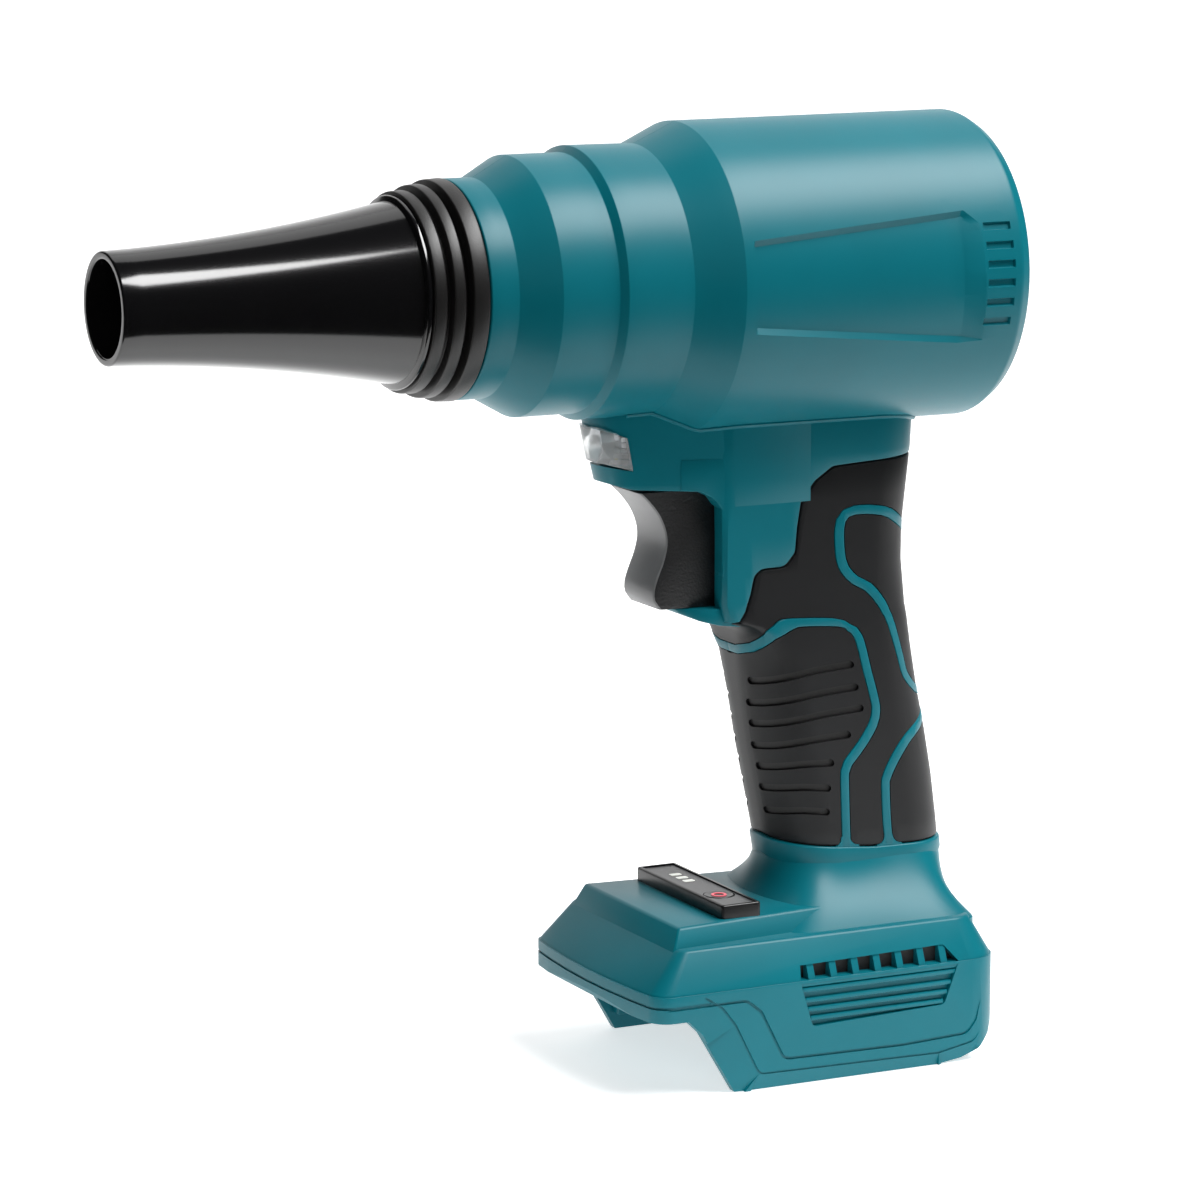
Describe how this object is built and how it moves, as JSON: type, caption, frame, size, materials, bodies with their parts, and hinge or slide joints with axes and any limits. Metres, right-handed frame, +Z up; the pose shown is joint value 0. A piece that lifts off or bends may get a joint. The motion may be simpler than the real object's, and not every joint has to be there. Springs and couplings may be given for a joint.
{
  "type": "leaf blower",
  "caption": "Hand-held cordless jet blower with a tapered nozzle, a round barrel, a leaning rubber grip and a slide-on battery foot, without its battery.",
  "frame": {"origin": "centre of the air outlet, in the plane of the nozzle's mouth", "axes": "+X along the air axis from the mouth towards the rear intake, +Z up, -Y to the tool's left side"},
  "size_m": [0.2622, 0.088, 0.271],
  "materials": {
    "teal_shell": "satin moulded nylon",
    "grip_rubber": "fine matt overmoulded rubber",
    "zinc_steel": "zinc plated",
    "nozzle_gloss": "polished",
    "collar_black": "fine grain",
    "seal_rubber": "smooth",
    "inner_plastic": "as moulded",
    "grille_black": "fine grain",
    "screen_steel": "blackened",
    "aluminium": "turned",
    "lamination_steel": "stacked sheet",
    "copper": "enamelled winding wire",
    "bearing_steel": "ground",
    "impeller_plastic": "as moulded",
    "trigger_black": "grained sides and a smooth front",
    "white_plastic": "as moulded",
    "switch_plastic": "as moulded",
    "clear_lens": "clear moulded",
    "board_green": "solder mask",
    "lamp_yellow": "phosphor",
    "panel_black": "satin",
    "panel_film": "printed film",
    "gauge_white": "diffuser",
    "contact_brass": "stamped",
    "capacitor_sleeve": "shrink sleeve",
    "lead_red": "silicone lead",
    "lead_black": "silicone lead"
  },
  "bodies": {
    "housing": {"housing_left": "teal_shell", "housing_right": "teal_shell", "grip_left": "grip_rubber", "grip_right": "grip_rubber", "housing_screws": "zinc_steel", "fan_duct": "inner_plastic", "duct_seals": "seal_rubber", "rear_grille": "grille_black", "intake_screen": "screen_steel", "tail_cone": "inner_plastic", "motor_can": "aluminium", "motor_front_cap": "aluminium", "motor_rear_cap": "aluminium", "stator_core": "lamination_steel", "stator_coils": "copper", "front_bearing": "bearing_steel", "rear_bearing": "bearing_steel", "trigger_spring": "zinc_steel", "switch_body": "switch_plastic", "led_lens": "clear_lens", "led_board": "board_green", "led_lamp": "lamp_yellow", "panel_bezel": "panel_black", "panel_face": "panel_film", "gauge_lights": "gauge_white", "button_dome": "contact_brass", "panel_board": "board_green", "control_board": "board_green", "capacitors": "capacitor_sleeve", "heat_sink": "aluminium", "terminal_block": "switch_plastic", "terminal_blades": "contact_brass", "motor_plug": "white_plastic", "motor_leads": "lead_red", "battery_leads": "lead_black"},
    "rotor": {"rotor_core": "lamination_steel", "rotor_shaft": "bearing_steel", "impeller": "impeller_plastic", "spinner": "aluminium"},
    "trigger": {"trigger": "trigger_black", "switch_plunger": "white_plastic"},
    "power_button": {"power_button": "panel_film"},
    "nozzle": {"nozzle": "nozzle_gloss", "nozzle_collar": "collar_black", "nozzle_seal": "seal_rubber"}
  },
  "joints": [
    {"name": "rotor_spin", "type": "hinge", "parent": "housing", "child": "rotor", "pos_m": [0.2, 0, 0], "axis": [1, 0, 0], "continuous": true},
    {"name": "trigger_pull", "type": "slide", "parent": "housing", "child": "trigger", "axis": [1, 0, 0], "range_m": [0, 0.0065], "stiffness_N_per_m": 500, "springref_m": -0.006, "deforming": ["trigger_spring"]},
    {"name": "power_press", "type": "slide", "parent": "housing", "child": "power_button", "axis": [0, 0, -1], "range_m": [0, 0.0005], "stiffness_N_per_m": 400, "springref_m": -0.0005},
    {"name": "nozzle_twist", "type": "hinge", "parent": "housing", "child": "nozzle", "pos_m": [0.0997, 0, 0], "axis": [-1, 0, 0], "range_deg": [0, 40]}
  ]
}
